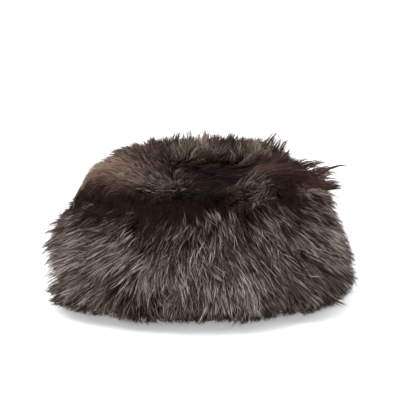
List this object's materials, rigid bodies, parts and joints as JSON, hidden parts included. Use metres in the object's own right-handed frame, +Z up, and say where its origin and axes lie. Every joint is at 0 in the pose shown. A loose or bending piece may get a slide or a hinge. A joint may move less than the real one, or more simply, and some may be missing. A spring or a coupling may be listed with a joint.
{
  "type": "fur toque hat",
  "caption": "Deep-piled fur toque with an oval side band, a flat crown and a round open head hollow, worn on the head or rested on its rim.",
  "frame": {"origin": "under the middle of the hat's outline, on the ground plane of the rim", "axes": "+Z up from the rim to the crown, -Y towards the brow, +X towards the wearer's left"},
  "size_m": [0.2942, 0.321, 0.1277],
  "materials": {
    "pelt": "napped suede skin side, matt",
    "side_fur": "long grizzled fur, pale ticked tips over a dark base",
    "crown_fur": "long dark brown fur with a paler brown patch"
  },
  "bodies": {
    "root": {"band_pelt": "pelt", "crown_pelt": "pelt", "band_fur": "side_fur", "crown_fur": "crown_fur"}
  },
  "joints": []
}
